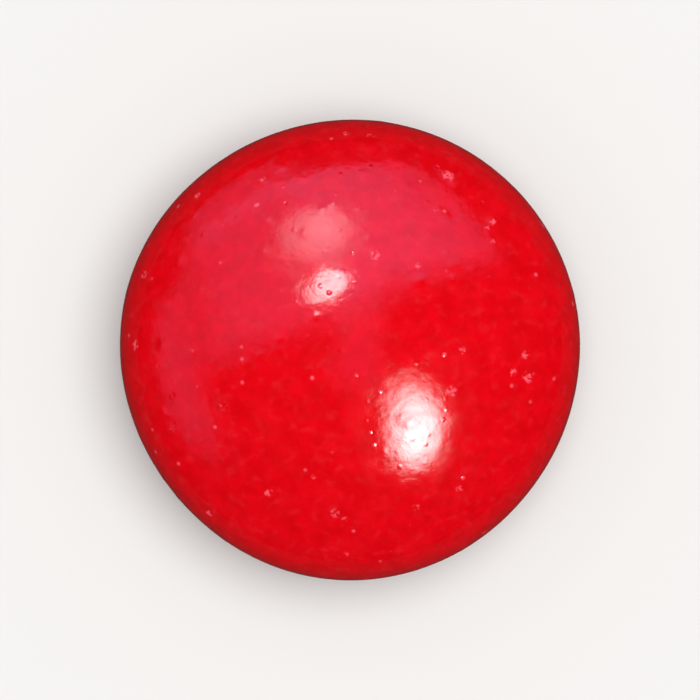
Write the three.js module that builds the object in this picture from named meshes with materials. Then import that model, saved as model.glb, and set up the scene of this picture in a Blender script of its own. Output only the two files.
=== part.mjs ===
// A candy coated chocolate: a small lens of chocolate in a polished red sugar shell. It is uncut, so
// it is one solid, and it lies on one of its two faces. Lengths are in millimetres and angles in
// degrees. +Z is up, and the origin is under the middle of the candy, on the surface it lies on.
import * as THREE from "three";

// Driving dimensions of the even lens, before the unevenness below.
const DIAMETER = 13.7; // across the rim
const THICKNESS = 7.1; // from the crown of one face to the crown of the other
const FACE_RADIUS = 10.3; // each face is part of a sphere of this radius
const REST_SPOT_RADIUS = 1.3; // the small flat spot that the candy lies on

// Candies press on each other while their shells are built up, so none is quite round. A side flat
// takes its depth off the rim at an azimuth, counted anticlockwise from +X as seen from above, and
// fades out over its spread on either hand.
const SIDE_FLATS = [
  { azimuth: 218, depth: 0.2, spread: 32 },
  { azimuth: 118, depth: 0.09, spread: 26 },
  { azimuth: 322, depth: 0.11, spread: 30 },
];
// A hollow is a broad shallow dent in a face, around the place x, y.
const UPPER_HOLLOWS = [
  { x: -2.3, y: 2.6, depth: 0.05, spread: 1.5 },
  { x: 3.6, y: 0.7, depth: 0.06, spread: 1.7 },
  { x: -1.2, y: -3.4, depth: 0.05, spread: 1.4 },
];
const LOWER_HOLLOWS = [
  { x: 3.6, y: -1.8, depth: 0.06, spread: 1.4 },
  { x: -2.8, y: 3.2, depth: 0.05, spread: 1.3 },
];

// How finely the solid is faceted.
const SEGMENTS_AROUND = 84;
const STEPS_ON_FACE = 13;
const STEPS_ON_RIM = 14;

const SHELL_COLOUR = 0xdf0817;
const SHELL_ROUGHNESS = 0.2;

const halfWidth = DIAMETER / 2;
const halfThickness = THICKNESS / 2;
const faceCentre = FACE_RADIUS - halfThickness; // how far a face's centre lies past mid-thickness
const restHeight = faceCentre - Math.sqrt(FACE_RADIUS ** 2 - REST_SPOT_RADIUS ** 2);

// The section of the even lens, from its lowest point round the rim to its highest: three arcs that
// meet smoothly. The radius of the rim follows from the driving dimensions.
function lensSection() {
  const quarterTurn = Math.PI / 2;
  const rimRadius =
    (2 * FACE_RADIUS * halfThickness - halfWidth ** 2 - halfThickness ** 2) /
    (2 * (FACE_RADIUS - halfWidth));
  const rimCentre = halfWidth - rimRadius;
  const rimEnd = Math.acos(rimCentre / (FACE_RADIUS - rimRadius));

  const lowerFace = new THREE.ArcCurve(0, faceCentre, FACE_RADIUS, -quarterTurn, -rimEnd);
  const rim = new THREE.ArcCurve(rimCentre, 0, rimRadius, -rimEnd, rimEnd);
  const upperFace = new THREE.ArcCurve(0, -faceCentre, FACE_RADIUS, rimEnd, quarterTurn);
  return [
    ...lowerFace.getPoints(STEPS_ON_FACE),
    ...rim.getPoints(STEPS_ON_RIM).slice(1),
    ...upperFace.getPoints(STEPS_ON_FACE).slice(1),
  ];
}

// The share of its distance from the axis that the side flats take from a point.
function narrowing(point) {
  const azimuth = Math.atan2(point.y, point.x);
  const outwards = Math.hypot(point.x, point.y) / halfWidth;
  const depth = SIDE_FLATS.reduce((sum, flat) => {
    const turn = azimuth - THREE.MathUtils.degToRad(flat.azimuth);
    const spread = THREE.MathUtils.degToRad(flat.spread);
    return sum + flat.depth * Math.exp((Math.cos(turn) - 1) / spread ** 2);
  }, 0);
  return (depth / halfWidth) * outwards ** 2;
}

// The depth of a face's hollows at a point.
function hollowDepth(hollows, point) {
  return hollows.reduce((sum, hollow) => {
    const away = Math.hypot(point.x - hollow.x, point.y - hollow.y) / hollow.spread;
    return sum + hollow.depth * Math.exp(-0.5 * away ** 2);
  }, 0);
}

// Moves a point of the even lens to its place on the uneven shell. The hollows fade towards the rim,
// and what would lie below the rest spot is flattened onto it.
function makeUneven(point) {
  const towardsCrown = point.z / halfThickness;
  const hollows = towardsCrown > 0 ? UPPER_HOLLOWS : LOWER_HOLLOWS;
  const left = 1 - narrowing(point);
  const lowered = point.z - hollowDepth(hollows, point) * towardsCrown * Math.abs(towardsCrown);
  point.set(point.x * left, point.y * left, Math.max(lowered, restHeight));
}

function shellGeometry() {
  const geometry = new THREE.LatheGeometry(lensSection(), SEGMENTS_AROUND);
  geometry.rotateX(Math.PI / 2);

  const position = geometry.getAttribute("position");
  const point = new THREE.Vector3();
  for (let i = 0; i < position.count; i++) {
    point.fromBufferAttribute(position, i);
    makeUneven(point);
    position.setXYZ(i, point.x, point.y, point.z);
  }
  geometry.computeVertexNormals();

  // The origin goes under the middle of the uneven shell.
  geometry.computeBoundingBox();
  const middle = geometry.boundingBox.getCenter(new THREE.Vector3());
  geometry.translate(-middle.x, -middle.y, -geometry.boundingBox.min.z);
  return geometry;
}

const shell = new THREE.MeshStandardMaterial({
  name: "shell",
  color: SHELL_COLOUR,
  roughness: SHELL_ROUGHNESS,
  metalness: 0,
});

const candy = new THREE.Mesh(shellGeometry(), shell);
candy.name = "candy";

const part = new THREE.Group();
part.name = "candy_coated_chocolate";
part.add(candy);

export default part;
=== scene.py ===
"""The looks of a candy coated chocolate: its polished red sugar shell, seen from straight above.

The shell is the solid's own lens with a finer surface: gentle waves, orange peel and tiny nubs of
sugar. Shapes and patterns are given in millimetres and degrees; meshes, lights and the camera are
in metres. Seen from above, +X is to the right of the picture and +Y is up.
"""

import math
from typing import NamedTuple

import bmesh
import bpy
import numpy as np
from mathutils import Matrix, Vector, noise


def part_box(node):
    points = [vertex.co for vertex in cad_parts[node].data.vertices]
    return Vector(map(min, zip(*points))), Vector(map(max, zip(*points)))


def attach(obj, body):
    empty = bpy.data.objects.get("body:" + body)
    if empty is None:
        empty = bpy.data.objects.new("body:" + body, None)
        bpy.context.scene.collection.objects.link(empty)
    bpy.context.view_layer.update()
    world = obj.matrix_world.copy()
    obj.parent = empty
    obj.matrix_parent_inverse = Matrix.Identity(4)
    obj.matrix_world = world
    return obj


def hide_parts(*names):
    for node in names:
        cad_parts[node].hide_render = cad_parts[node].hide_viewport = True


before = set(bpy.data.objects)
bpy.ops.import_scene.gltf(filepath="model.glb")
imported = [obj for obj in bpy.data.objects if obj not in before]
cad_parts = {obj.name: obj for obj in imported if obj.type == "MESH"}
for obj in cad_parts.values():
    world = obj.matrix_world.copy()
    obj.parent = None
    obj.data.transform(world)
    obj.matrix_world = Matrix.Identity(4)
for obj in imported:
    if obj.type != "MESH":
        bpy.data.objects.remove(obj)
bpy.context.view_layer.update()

MM = 0.001
NODE = "candy"
BODY = "root"

# ---- The shell's shape

# The even lens, as in the solid: three arcs that meet smoothly.
DIAMETER = 13.7
THICKNESS = 7.1
FACE_RADIUS = 10.3
REST_SPOT_RADIUS = 1.3

# The solid's unevenness. Side flats are (azimuth, depth, spread), and the hollows of each face are
# (x, y, depth, spread).
SIDE_FLATS = [(218, 0.2, 32), (118, 0.09, 26), (322, 0.11, 30)]
UPPER_HOLLOWS = [(-2.3, 2.6, 0.05, 1.5), (3.6, 0.7, 0.06, 1.7), (-1.2, -3.4, 0.05, 1.4)]
LOWER_HOLLOWS = [(3.6, -1.8, 0.06, 1.4), (-2.8, 3.2, 0.05, 1.3)]

# The finer surface. Waves are (wavelength, height). Nubs are sugar grains under the shell, which
# raise it at random places. Over a share of them the shell is painted pale, partly where it is thin
# over the sugar and partly as painted glints on the nubs, by a paleness between 0, as red as the
# rest, and 1, the colour of the specks.
SURFACE_WAVES = [(3.2, 0.014), (1.3, 0.005), (0.6, 0.0015)]
NUB_COUNT = 400
NUB_RADIUS = (0.08, 0.18)
NUB_HEIGHT = (0.002, 0.014)
PALE_SHARE = 0.25
NUB_PALENESS = (0.4, 1)
RANDOM_SEED = 12

STEPS_ON_ARC = 400  # finer than the mesh
SHELL_DIVISIONS = 128  # squares along each side of the mesh's six patches
PALENESS = "paleness"  # the mesh's record of how pale the shell is at each vertex

half_width = DIAMETER / 2
half_thickness = THICKNESS / 2
face_centre = FACE_RADIUS - half_thickness  # how far a face's centre lies past mid-thickness
rest_height = face_centre - math.sqrt(FACE_RADIUS**2 - REST_SPOT_RADIUS**2)


def lens_section():
    """Radii and heights along the even lens's section, from its lowest point to its highest."""
    rim_radius = (2 * FACE_RADIUS * half_thickness - half_width**2 - half_thickness**2) / (
        2 * (FACE_RADIUS - half_width)
    )
    rim_centre = half_width - rim_radius
    rim_end = math.acos(rim_centre / (FACE_RADIUS - rim_radius))
    quarter_turn = math.pi / 2
    arcs = [
        (0, face_centre, FACE_RADIUS, -quarter_turn, -rim_end),
        (rim_centre, 0, rim_radius, -rim_end, rim_end),
        (0, -face_centre, FACE_RADIUS, rim_end, quarter_turn),
    ]
    radii, heights = [], []
    for centre_radius, centre_height, radius, start, end in arcs:
        angle = np.linspace(start, end, STEPS_ON_ARC)
        radii.append(centre_radius + radius * np.cos(angle))
        heights.append(centre_height + radius * np.sin(angle))
    return np.concatenate(radii), np.concatenate(heights)


def on_lens(sphere):
    """Carries points of a unit sphere onto the even lens, so that equal areas stay equal."""
    radii, heights = lens_section()
    strip_areas = np.hypot(np.diff(radii), np.diff(heights)) * (radii[1:] + radii[:-1])
    area = np.concatenate([[0], np.cumsum(strip_areas)])
    section_polar = np.arccos(np.clip(1 - 2 * area / area[-1], -1, 1))
    polar = np.arccos(np.clip(-sphere[:, 2], -1, 1))
    azimuth = np.arctan2(sphere[:, 1], sphere[:, 0])
    radius = np.interp(polar, section_polar, radii)
    height = np.interp(polar, section_polar, heights)
    return np.column_stack([radius * np.cos(azimuth), radius * np.sin(azimuth), height])


def hollow_depth(hollows, x, y):
    """The depth of a face's hollows at each point."""
    return sum(
        depth * np.exp(-0.5 * ((x - at_x) ** 2 + (y - at_y) ** 2) / spread**2)
        for at_x, at_y, depth, spread in hollows
    )


def make_uneven(points):
    """Moves points of the even lens to their places on the solid's uneven shell."""
    x, y, z = points.T
    azimuth = np.arctan2(y, x)
    outwards = np.hypot(x, y) / half_width
    flats = sum(
        depth * np.exp((np.cos(azimuth - math.radians(at)) - 1) / math.radians(spread) ** 2)
        for at, depth, spread in SIDE_FLATS
    )
    share_left = 1 - flats / half_width * outwards**2
    crown = z / half_thickness
    upper = hollow_depth(UPPER_HOLLOWS, x, y)
    lower = hollow_depth(LOWER_HOLLOWS, x, y)
    lowered = z - np.where(crown > 0, upper, lower) * crown * np.abs(crown)
    return np.column_stack([x * share_left, y * share_left, np.maximum(lowered, rest_height)])


def surface_relief(points):
    """How far the finer surface stands out of the shell, and how pale it is, at each point."""
    relief = np.zeros(len(points))
    for wavelength, height in SURFACE_WAVES:
        # The noise is read a few wavelengths away from its origin.
        shift = Vector((wavelength, 2 * wavelength, 3 * wavelength))
        relief += height * np.array([noise.noise((Vector(p) + shift) / wavelength) for p in points])

    paleness = np.zeros(len(points))
    rng = np.random.default_rng(RANDOM_SEED)
    for at in points[rng.integers(len(points), size=NUB_COUNT)]:
        radius = rng.uniform(*NUB_RADIUS)
        height = rng.uniform(*NUB_HEIGHT)
        # A nub's paleness is painted: partly thin shell over the sugar, partly a painted glint.
        pale = rng.uniform(*NUB_PALENESS) * (rng.random() < PALE_SHARE)
        grain = np.exp(-((points - at) ** 2).sum(axis=1) / radius**2)
        relief += height * grain
        paleness = np.maximum(paleness, pale * grain)
    return relief, paleness


def sphere_grid():
    """A unit sphere of quads: a cube whose sides are divided into equal angles."""
    grid = bmesh.new()
    bmesh.ops.create_cube(grid, size=2)
    bmesh.ops.subdivide_edges(
        grid, edges=grid.edges[:], cuts=SHELL_DIVISIONS - 1, use_grid_fill=True
    )
    for vertex in grid.verts:
        vertex.co = Vector([math.tan(c * math.pi / 4) for c in vertex.co]).normalized()
    return grid


def vertex_values(mesh, name):
    """A vertex property of a mesh as an array of rows of three."""
    values = np.empty(len(mesh.vertices) * 3)
    mesh.vertices.foreach_get(name, values)
    return values.reshape(-1, 3)


def fit_to_solid(points):
    """Moves and stretches the shell's points by a hair, so that they fill the solid's box."""
    low, high = (np.array(corner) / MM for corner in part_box(NODE))
    own_low, own_high = points.min(axis=0), points.max(axis=0)
    return low + (points - own_low) * (high - low) / (own_high - own_low)


def make_shell():
    """The candy's sugar shell, which stands for the whole candy."""
    mesh = bpy.data.meshes.new("sugar_shell")
    grid = sphere_grid()
    grid.to_mesh(mesh)
    grid.free()

    smooth = make_uneven(on_lens(vertex_values(mesh, "co")))
    mesh.vertices.foreach_set("co", smooth.ravel())
    mesh.update()
    relief, paleness = surface_relief(smooth)
    points = smooth + vertex_values(mesh, "normal") * relief[:, None]
    points[:, 2] = np.maximum(points[:, 2], rest_height)
    mesh.vertices.foreach_set("co", (fit_to_solid(points) * MM).ravel())
    mesh.polygons.foreach_set("use_smooth", [True] * len(mesh.polygons))
    mesh.attributes.new(PALENESS, "FLOAT", "POINT").data.foreach_set("value", paleness)
    mesh.update()

    shell = bpy.data.objects.new("sugar_shell", mesh)
    bpy.context.collection.objects.link(shell)
    mesh.materials.append(shell_material())
    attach(shell, BODY)
    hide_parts(NODE)


# ---- Materials


class Patches(NamedTuple):
    """Random patches with soft edges. They are where noise, which goes from 0 to 1, is high."""

    size: float
    start: float  # the noise at which a patch sets in
    full: float  # the noise at which it is full
    detail: float = 2
    roughness: float = 0.5


class Dots(NamedTuple):
    """Random round bumps, or pits where their height is negative."""

    spacing: float
    radius: float
    share: float  # of the places for them that have one
    height: float


SHELL_DEEP_RED = (0.635, 0.0002, 0.0034, 1)
SHELL_RED = (0.745, 0.0005, 0.0059, 1)
# Pale pink: sugar showing through the shell, and partly painted glints on specks and nubs.
SPECK_AND_GLINT_COLOUR = (0.90, 0.09, 0.13, 1)
SHELL_ROUGHNESS = (0.10, 0.16)
SUGAR_IOR = 1.56

# Clouds are of the lighter red, mottles have a little of the speck colour, crumbs show in full what
# is painted pale over a nub, partly thin shell and partly painted glints, and rubs are the rougher
# places.
CLOUDS = Patches(size=0.5, start=0.3, full=0.7, detail=4, roughness=0.6)
MOTTLES = Patches(size=0.3, start=0.50, full=0.85, detail=1)
CRUMBS = Patches(size=0.11, start=0.35, full=0.65)
RUBS = Patches(size=0.9, start=0.4, full=0.7, detail=4, roughness=0.6)
MOTTLE_STRENGTH = 0.07
PALENESS_BETWEEN_CRUMBS = 0.2  # as a share of that in them
# A pale grain is painted colour: partly thin shell over the sugar, partly a painted glint.
GRAIN_AND_GLINT_EDGE = (0.15, 0.6)  # the paleness at which a grain begins to show, and shows in full

# The bumps in the gloss: orange peel, and three kinds of dot. Only the specks are painted pale as
# well, partly their sugar and partly their glints.
PEEL_SIZE = 0.3
PEEL_HEIGHT = 0.006
PIPS = Dots(spacing=0.43, radius=0.07, share=0.5, height=0.004)
SPECKS = Dots(spacing=0.65, radius=0.06, share=0.35, height=0.012)
PINHOLES = Dots(spacing=0.63, radius=0.055, share=0.16, height=-0.010)

FLOOR_COLOUR = (0.74, 0.73, 0.715, 1)
# How bright the floor is for the shell, as a share: in its gloss, and as light thrown on it.
FLOOR_SHARES = {"Is Glossy Ray": 0.05, "Is Diffuse Ray": 0.4}


def add(tree, kind, inputs=None, **settings):
    """Adds a node. An input's value is a number, a colour or the socket that feeds it."""
    node = tree.nodes.new(kind)
    for name, value in settings.items():
        setattr(node, name, value)
    for name, value in (inputs or {}).items():
        if isinstance(value, bpy.types.NodeSocket):
            tree.links.new(value, node.inputs[name])
        else:
            node.inputs[name].default_value = value
    return node


def mix_colours(tree, factor, first, second):
    """The colour between two colours."""
    # Sockets of one name serve numbers, vectors and colours, so those for colours go by place.
    mix = add(tree, "ShaderNodeMix", {0: factor, 6: first, 7: second}, data_type="RGBA")
    return mix.outputs[2]


def multiply(tree, first, second):
    """The product of two values."""
    return add(tree, "ShaderNodeMath", {0: first, 1: second}, operation="MULTIPLY").outputs[0]


def in_range(tree, value, start, end, low=0.0, high=1.0):
    """Maps a value from start..end to low..high, smoothly and without passing either end."""
    inputs = {"Value": value, "From Min": start, "From Max": end, "To Min": low, "To Max": high}
    return add(tree, "ShaderNodeMapRange", inputs, interpolation_type="SMOOTHSTEP").outputs[0]


def noise_of(tree, place, size, detail=2.0, roughness=0.5):
    """Noise whose features measure about size millimetres."""
    inputs = {"Vector": place, "Scale": 1 / (size * MM), "Detail": detail, "Roughness": roughness}
    return add(tree, "ShaderNodeTexNoise", inputs).outputs["Fac"]


def patches_of(tree, place, patches, low=0.0, high=1.0):
    """A pattern of patches: low between them and high inside them."""
    level = noise_of(tree, place, patches.size, patches.detail, patches.roughness)
    return in_range(tree, level, patches.start, patches.full, low, high)


def dots_of(tree, place, dots):
    """A pattern of dots: 0 between them, and domed up to 1 in the middle of each."""
    cells = add(tree, "ShaderNodeTexVoronoi", {"Vector": place, "Scale": 1 / (dots.spacing * MM)})
    foot = 1.5 * dots.radius / dots.spacing  # a dome looks about two thirds as wide as its foot
    dome = in_range(tree, cells.outputs["Distance"], foot, 0)
    chance = add(tree, "ShaderNodeSeparateColor", {"Color": cells.outputs["Color"]}).outputs[0]
    inputs = {0: chance, 1: dots.share}
    chosen = add(tree, "ShaderNodeMath", inputs, operation="LESS_THAN").outputs[0]
    return multiply(tree, dome, chosen)


def raised(tree, pattern, height, normal=None):
    """A surface normal, bent as by a relief of a pattern whose 1 is height millimetres high."""
    inputs = {"Height": pattern, "Distance": height * MM, "Strength": 1.0}
    if normal is not None:
        inputs["Normal"] = normal
    return add(tree, "ShaderNodeBump", inputs).outputs[0]


def new_material(name):
    """An empty material with its output node."""
    material = bpy.data.materials.new(name)
    material.use_nodes = True
    tree = material.node_tree
    tree.nodes.clear()
    return material, tree, add(tree, "ShaderNodeOutputMaterial")


def shell_colour(tree, place, specks):
    """Clouded and faintly mottled red, painted pale in the specks and over nubs, partly as thin
    shell and partly as painted glints.
    """
    clouds = patches_of(tree, place, CLOUDS)
    red = mix_colours(tree, clouds, SHELL_DEEP_RED, SHELL_RED)
    mottles = patches_of(tree, place, MOTTLES, high=MOTTLE_STRENGTH)
    mottled_red = mix_colours(tree, mottles, red, SPECK_AND_GLINT_COLOUR)
    # The specks are painted pale: partly their sugar, partly their glints.
    specked_red = mix_colours(tree, specks, mottled_red, SPECK_AND_GLINT_COLOUR)

    paleness = add(tree, "ShaderNodeAttribute", attribute_name=PALENESS).outputs["Fac"]
    crumbs = patches_of(tree, place, CRUMBS, low=PALENESS_BETWEEN_CRUMBS)
    # Painted pale over the nubs: partly thin shell over the sugar, partly painted glints.
    pale_grains_and_glints = in_range(tree, multiply(tree, paleness, crumbs), *GRAIN_AND_GLINT_EDGE)
    return mix_colours(tree, pale_grains_and_glints, specked_red, SPECK_AND_GLINT_COLOUR)


def shell_normal(tree, place, specks):
    """The shell's normal, bent by orange peel, pips, specks and pinholes."""
    peel = raised(tree, noise_of(tree, place, PEEL_SIZE), PEEL_HEIGHT)
    pipped = raised(tree, dots_of(tree, place, PIPS), PIPS.height, peel)
    specked = raised(tree, specks, SPECKS.height, pipped)
    return raised(tree, dots_of(tree, place, PINHOLES), PINHOLES.height, specked)


def shell_material():
    """Polished sugar: a clouded, specked red under a clear and slightly uneven gloss."""
    material, tree, output = new_material("red_sugar_shell")
    place = add(tree, "ShaderNodeTexCoord").outputs["Object"]
    specks = dots_of(tree, place, SPECKS)
    inputs = {
        "Base Color": shell_colour(tree, place, specks),
        "Roughness": patches_of(tree, place, RUBS, *SHELL_ROUGHNESS),
        "IOR": SUGAR_IOR,
        "Normal": shell_normal(tree, place, specks),
    }
    shader = add(tree, "ShaderNodeBsdfPrincipled", inputs)
    tree.links.new(shader.outputs[0], output.inputs["Surface"])
    return material


def floor_material():
    """Pale matt board, which throws less light on the shell than its looks suggest."""
    material, tree, output = new_material("pale_floor")
    ray = add(tree, "ShaderNodeLightPath").outputs
    board = add(tree, "ShaderNodeBsdfDiffuse", {"Color": FLOOR_COLOUR})
    for kind, share in FLOOR_SHARES.items():
        shade = (*(share * c for c in FLOOR_COLOUR[:3]), 1)
        darker = add(tree, "ShaderNodeBsdfDiffuse", {"Color": shade})
        inputs = {0: ray[kind], 1: board.outputs[0], 2: darker.outputs[0]}
        board = add(tree, "ShaderNodeMixShader", inputs)
    tree.links.new(board.outputs[0], output.inputs["Surface"])
    return material


# ---- Floor, lights and camera


class FlatLight(NamedTuple):
    """A flat, level light. Its place and size are multiples of the height that it hangs at."""

    x: float
    y: float
    width: float
    depth: float
    turn: float  # anticlockwise, in degrees
    radiance: float
    colour: tuple
    soft_shares: tuple  # of half its width and depth, over which it fades; alike if it is round
    is_round: bool


FLOOR_SIZE = 1.2
WHITE = (1, 1, 1)
DAYLIGHT = (0.85, 0.80, 1.75)

# The panels show in the gloss and light nothing else. The softbox lights the scene, and hangs high
# so that the floor is evenly lit.
PANELS = {
    "key": FlatLight(0.455, -0.54, 0.60, 0.98, 14, 26, WHITE, (0.95, 0.95), True),
    "kicker": FlatLight(-0.146, 0.41, 0.42, 0.25, 20, 15, WHITE, (0.8, 0.8), True),
    "window": FlatLight(-0.40, 1.13, 3.9, 2.2, 20, 0.49, DAYLIGHT, (0.85, 0.27), False),
    "window_right": FlatLight(0.38, 1.47, 2.2, 2.1, 20, 0.34, DAYLIGHT, (0.35, 0.27), False),
    "window_corner": FlatLight(-1.75, 2.35, 2.4, 3.0, 40, 0.32, DAYLIGHT, (0.6, 0.5), False),
    "window_middle": FlatLight(-0.236, 0.86, 0.84, 0.85, 0, 4.0, WHITE, (1.0, 1.0), True),
    "window_sill": FlatLight(0.06, 0.10, 0.44, 0.9, 0, 0.24, DAYLIGHT, (0.7, 0.6), False),
    "left_panel": FlatLight(-2.1, -0.3, 2.0, 2.7, 20, 0.30, DAYLIGHT, (0.7, 0.6), False),
}
SOFTBOX = FlatLight(0.14, 0.06, 0.9, 0.9, 0, 6.5, WHITE, (0.3, 0.3), True)
PANEL_HEIGHT = 0.15
GAP_BETWEEN_PANELS = 0.001  # how much higher each hangs than the last, as they overlap
SOFTBOX_HEIGHT = 1.5

# What is all round: a dim room that the gloss mirrors, soft light that fills the shadows, and the
# backdrop that the camera sees.
ROOM_RADIANCE = 0.006
FILL_RADIANCE = 0.58
BACKDROP_COLOUR = (0.84, 0.83, 0.815, 1)

CAMERA_LENS = 200
PICTURE_WIDTH = 20.6 * MM  # how much the picture shows, level with the candy's widest part
CLIP_RATIO = 10  # the camera sees this many times nearer and farther than the candy


def make_floor():
    """A plain pale floor under the candy."""
    bpy.ops.mesh.primitive_plane_add(size=FLOOR_SIZE)
    floor = bpy.context.object
    floor.name = "floor"
    floor.data.materials.append(floor_material())


def shade_light(data, flat):
    """Lets a light shine evenly in its middle and fade out towards its edge."""
    data.use_nodes = True
    tree = data.node_tree
    tree.nodes.clear()
    place = add(tree, "ShaderNodeNewGeometry").outputs["Parametric"]
    inputs = {0: place, 1: (2, 2, 0), 2: (-1, -1, 0)}  # from 0..1 across the light to -1..1
    from_middle = add(tree, "ShaderNodeVectorMath", inputs, operation="MULTIPLY_ADD").outputs[0]
    fade_starts = [1 - share for share in flat.soft_shares]
    if flat.is_round:
        outwards = add(tree, "ShaderNodeVectorMath", {0: from_middle}, operation="LENGTH")
        strength = in_range(tree, outwards.outputs["Value"], 1, fade_starts[0])
    else:
        size = add(tree, "ShaderNodeVectorMath", {0: from_middle}, operation="ABSOLUTE")
        sides = add(tree, "ShaderNodeSeparateXYZ", {0: size.outputs[0]}).outputs
        across = in_range(tree, sides["X"], 1, fade_starts[0])
        along = in_range(tree, sides["Y"], 1, fade_starts[1])
        strength = multiply(tree, across, along)
    emission = add(tree, "ShaderNodeEmission", {"Color": (*flat.colour, 1), "Strength": strength})
    output = add(tree, "ShaderNodeOutputLight")
    tree.links.new(emission.outputs[0], output.inputs["Surface"])


def make_light(name, height, flat, in_gloss):
    """Hangs a flat light, facing down. It either shows in the gloss or lights the scene."""
    data = bpy.data.lights.new(name, "AREA")
    data.shape = "ELLIPSE" if flat.is_round else "RECTANGLE"
    data.size = flat.width * height
    data.size_y = flat.depth * height
    area = data.size * data.size_y * (math.pi / 4 if flat.is_round else 1)
    data.energy = flat.radiance * math.pi * area
    shade_light(data, flat)
    light = bpy.data.objects.new(name, data)
    bpy.context.collection.objects.link(light)
    light.location = (flat.x * height, flat.y * height, height)
    light.rotation_euler.z = math.radians(flat.turn)
    light.visible_camera = False
    light.visible_glossy = in_gloss
    light.visible_diffuse = not in_gloss
    data.cycles.use_multiple_importance_sampling = in_gloss  # keeps the softbox out of the gloss


def make_sky():
    """The world, of which each kind of ray sees its own: the room, the fill or the backdrop."""
    world = bpy.data.worlds.new("studio")
    world.use_nodes = True
    tree = world.node_tree
    tree.nodes.clear()
    ray = add(tree, "ShaderNodeLightPath").outputs
    room = add(tree, "ShaderNodeBackground", {"Strength": ROOM_RADIANCE})
    fill = add(tree, "ShaderNodeBackground", {"Strength": FILL_RADIANCE})
    backdrop = add(tree, "ShaderNodeBackground", {"Color": BACKDROP_COLOUR})
    inputs = {0: ray["Is Diffuse Ray"], 1: room.outputs[0], 2: fill.outputs[0]}
    unseen = add(tree, "ShaderNodeMixShader", inputs)
    inputs = {0: ray["Is Camera Ray"], 1: unseen.outputs[0], 2: backdrop.outputs[0]}
    sky = add(tree, "ShaderNodeMixShader", inputs)
    output = add(tree, "ShaderNodeOutputWorld")
    tree.links.new(sky.outputs[0], output.inputs["Surface"])
    world.cycles.sampling_method = "NONE"  # so that each kind of ray sees only its own
    bpy.context.scene.world = world


def make_camera(centre):
    """A long lens straight above the candy."""
    data = bpy.data.cameras.new("camera")
    data.lens = CAMERA_LENS
    distance = PICTURE_WIDTH / data.sensor_width * data.lens
    data.clip_start = distance / CLIP_RATIO
    data.clip_end = distance * CLIP_RATIO
    camera = bpy.data.objects.new("camera", data)
    bpy.context.collection.objects.link(camera)
    camera.location = centre + Vector((0, 0, distance))
    bpy.context.scene.camera = camera


make_shell()
make_floor()
for level, (name, panel) in enumerate(PANELS.items()):
    make_light(name, PANEL_HEIGHT + level * GAP_BETWEEN_PANELS, panel, in_gloss=True)
make_light("softbox", SOFTBOX_HEIGHT, SOFTBOX, in_gloss=False)
make_sky()
low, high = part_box(NODE)
make_camera((low + high) / 2)
bpy.context.scene.view_settings.view_transform = "Standard"
